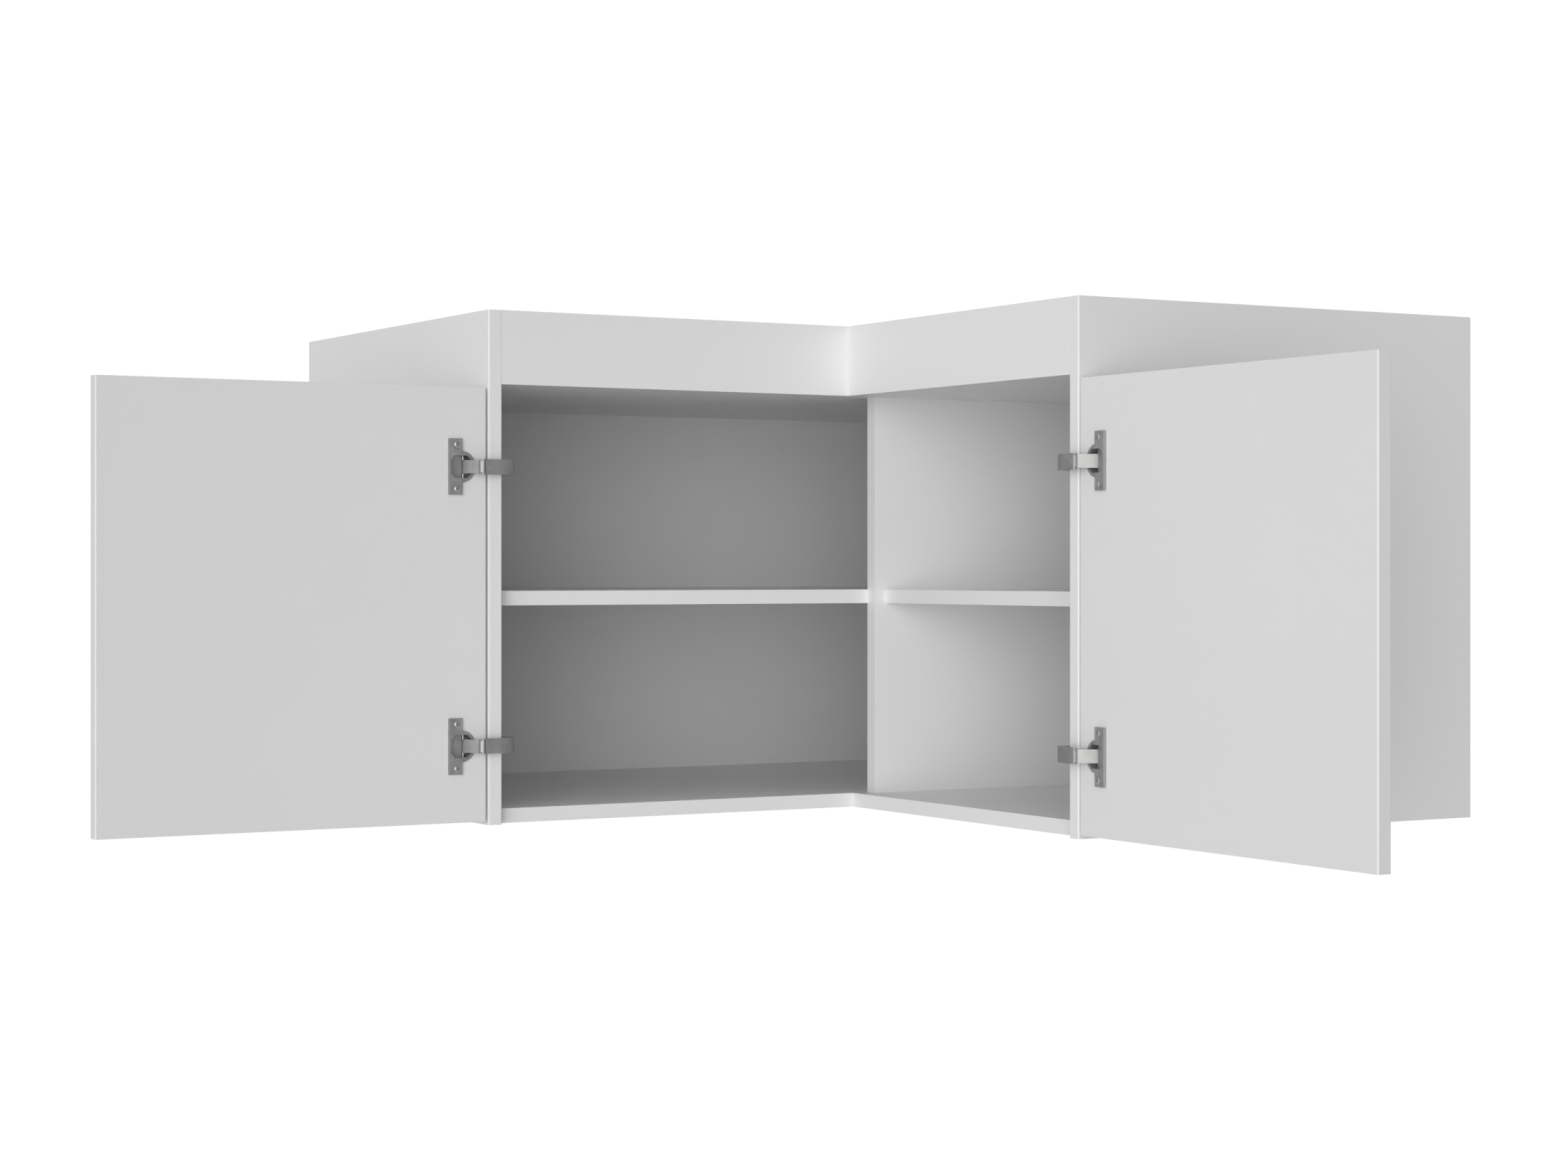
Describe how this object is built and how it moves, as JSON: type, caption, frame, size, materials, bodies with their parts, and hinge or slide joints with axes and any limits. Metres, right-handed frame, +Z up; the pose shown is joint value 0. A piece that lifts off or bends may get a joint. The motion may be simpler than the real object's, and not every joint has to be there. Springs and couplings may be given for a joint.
{
  "type": "corner hanging wall cabinet",
  "caption": "White laminated corner wall cabinet with two wings, fascia boards, shelves and frameless doors on wide-angle concealed hinges, shown open.",
  "frame": {"origin": "on the underside of the bottom panel, at the centre of the square where the two wings cross, 270 mm from each wall plane and 270 mm from each front plane", "axes": "+X towards the wall behind the right wing, +Y towards the wall behind the left wing, +Z up; the left wing runs towards -X and the right wing towards -Y"},
  "size_m": [1.4347, 1.4572, 0.562],
  "materials": {
    "white_board": "chipboard with a satin white melamine face",
    "door_board": "chipboard with a satin white melamine face",
    "white_backing": "white painted fibreboard",
    "dowel_wood": "fluted beech",
    "nickel": "satin nickel plate",
    "zinc_steel": "zinc plated",
    "pin_steel": "bright drawn"
  },
  "bodies": {
    "cabinet": {"left_side_panel": "white_board", "right_side_panel": "white_board", "bottom_panel": "white_board", "top_panel": "white_board", "left_fascia": "white_board", "right_fascia": "white_board", "partition": "white_board", "corner_post": "white_board", "left_shelf": "white_board", "right_shelf": "white_board", "left_back": "white_backing", "right_back": "white_backing", "left_shelf_dowel_1": "dowel_wood", "left_shelf_dowel_2": "dowel_wood", "left_shelf_dowel_3": "dowel_wood", "left_shelf_dowel_4": "dowel_wood", "right_shelf_dowel_1": "dowel_wood", "right_shelf_dowel_2": "dowel_wood", "right_shelf_dowel_3": "dowel_wood", "right_shelf_dowel_4": "dowel_wood", "left_hanger": "zinc_steel", "right_hanger": "zinc_steel", "left_lower_hinge_body": "nickel", "left_lower_hinge_mounting_plate": "zinc_steel", "left_upper_hinge_body": "nickel", "left_upper_hinge_mounting_plate": "zinc_steel", "right_lower_hinge_body": "nickel", "right_lower_hinge_mounting_plate": "zinc_steel", "right_upper_hinge_body": "nickel", "right_upper_hinge_mounting_plate": "zinc_steel"},
    "left_links": {"left_lower_hinge_elbow_pin": "pin_steel", "left_lower_hinge_link": "zinc_steel", "left_upper_hinge_elbow_pin": "pin_steel", "left_upper_hinge_link": "zinc_steel"},
    "left_outer_arms": {"left_lower_hinge_outer_arm": "nickel", "left_lower_hinge_knuckle_pin": "pin_steel", "left_upper_hinge_outer_arm": "nickel", "left_upper_hinge_knuckle_pin": "pin_steel"},
    "left_door": {"left_door": "door_board", "left_lower_hinge_cup": "nickel", "left_lower_hinge_cup_arm": "nickel", "left_lower_hinge_cup_pin": "pin_steel", "left_upper_hinge_cup": "nickel", "left_upper_hinge_cup_arm": "nickel", "left_upper_hinge_cup_pin": "pin_steel"},
    "right_links": {"right_lower_hinge_elbow_pin": "pin_steel", "right_lower_hinge_link": "zinc_steel", "right_upper_hinge_elbow_pin": "pin_steel", "right_upper_hinge_link": "zinc_steel"},
    "right_outer_arms": {"right_lower_hinge_outer_arm": "nickel", "right_lower_hinge_knuckle_pin": "pin_steel", "right_upper_hinge_outer_arm": "nickel", "right_upper_hinge_knuckle_pin": "pin_steel"},
    "right_door": {"right_door": "door_board", "right_lower_hinge_cup": "nickel", "right_lower_hinge_cup_arm": "nickel", "right_lower_hinge_cup_pin": "pin_steel", "right_upper_hinge_cup": "nickel", "right_upper_hinge_cup_arm": "nickel", "right_upper_hinge_cup_pin": "pin_steel"}
  },
  "joints": [
    {"name": "left_link_swing", "type": "hinge", "parent": "cabinet", "child": "left_links", "pos_m": [-0.686, -0.232, 0.24], "axis": [0, 0, 1], "range_deg": [0, 180]},
    {"name": "left_arm_swing", "type": "hinge", "parent": "left_links", "child": "left_outer_arms", "pos_m": [-0.7069, -0.2546, 0.24], "axis": [0, 0, -1], "range_deg": [0, 180]},
    {"name": "left_door_swing", "type": "hinge", "parent": "cabinet", "child": "left_door", "pos_m": [-0.72, -0.262, 0.24], "axis": [0, 0, 1], "range_deg": [0, 180]},
    {"name": "right_link_swing", "type": "hinge", "parent": "cabinet", "child": "right_links", "pos_m": [-0.232, -0.686, 0.24], "axis": [0, 0, -1], "range_deg": [0, 180]},
    {"name": "right_arm_swing", "type": "hinge", "parent": "right_links", "child": "right_outer_arms", "pos_m": [-0.2546, -0.7069, 0.24], "axis": [0, 0, 1], "range_deg": [0, 180]},
    {"name": "right_door_swing", "type": "hinge", "parent": "cabinet", "child": "right_door", "pos_m": [-0.262, -0.72, 0.24], "axis": [0, 0, -1], "range_deg": [0, 180]}
  ],
  "couplings": [
    {"joint": "left_link_swing", "follows": "left_door_swing", "ratio": 1},
    {"joint": "left_arm_swing", "follows": "left_door_swing", "ratio": 1},
    {"joint": "right_link_swing", "follows": "right_door_swing", "ratio": 1},
    {"joint": "right_arm_swing", "follows": "right_door_swing", "ratio": 1}
  ]
}
